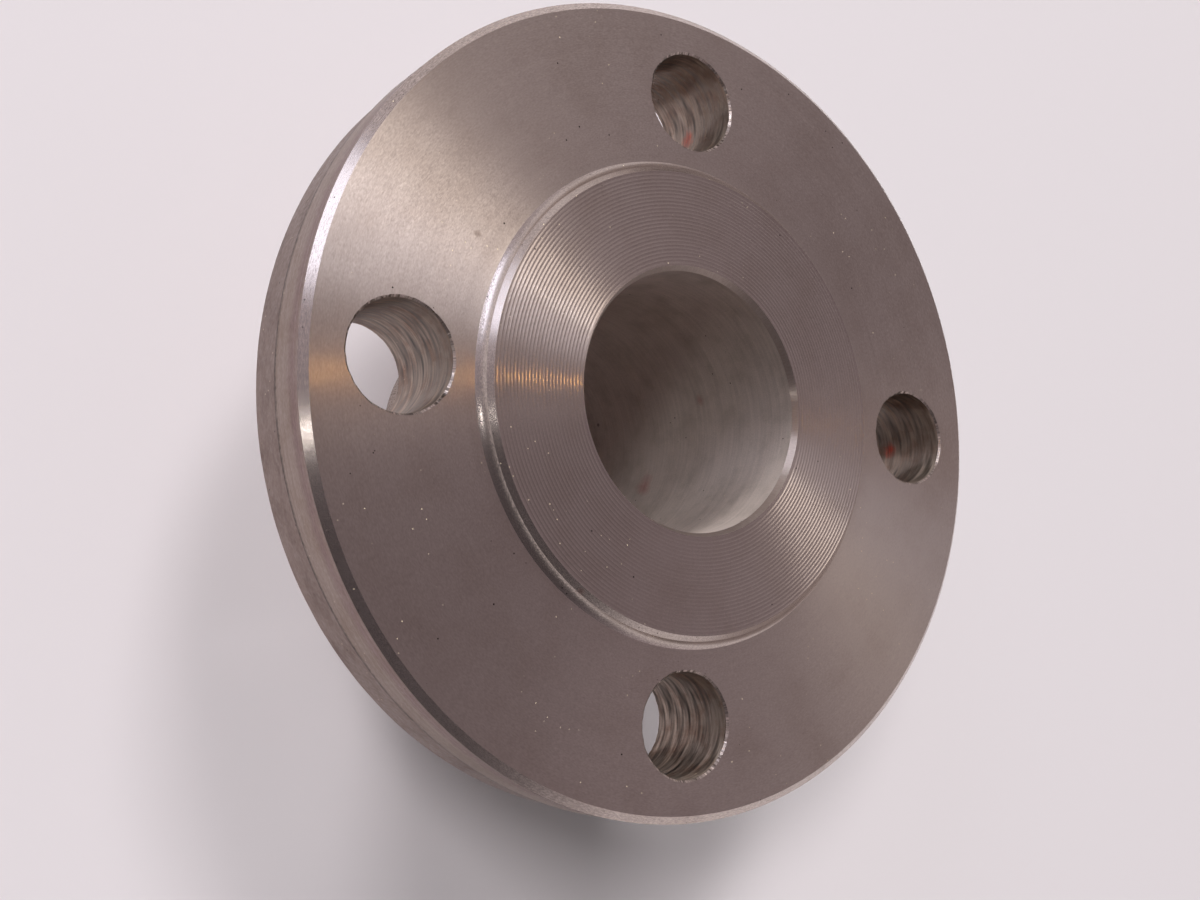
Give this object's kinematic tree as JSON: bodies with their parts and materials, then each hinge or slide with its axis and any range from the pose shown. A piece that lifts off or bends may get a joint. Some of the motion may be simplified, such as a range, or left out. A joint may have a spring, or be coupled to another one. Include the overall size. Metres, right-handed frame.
{
  "type": "pipe flange",
  "caption": "Raised-face weld-neck pipe flange: a drilled steel disc with a serrated gasket face and a tapered hub that is butt-welded to a pipe.",
  "frame": {"origin": "centre of the weld end, where the bore's axis meets the plane of the weld land", "axes": "+Z along the bore's axis, from the weld end to the raised face; +X and +Y each pass midway between two bolt holes"},
  "size_m": [0.127, 0.127, 0.062],
  "materials": {
    "steel": "turned and drilled carbon steel, bare, slightly dulled; rim and hub partly as forged"
  },
  "bodies": {
    "root": {"flange": "steel"}
  },
  "joints": []
}
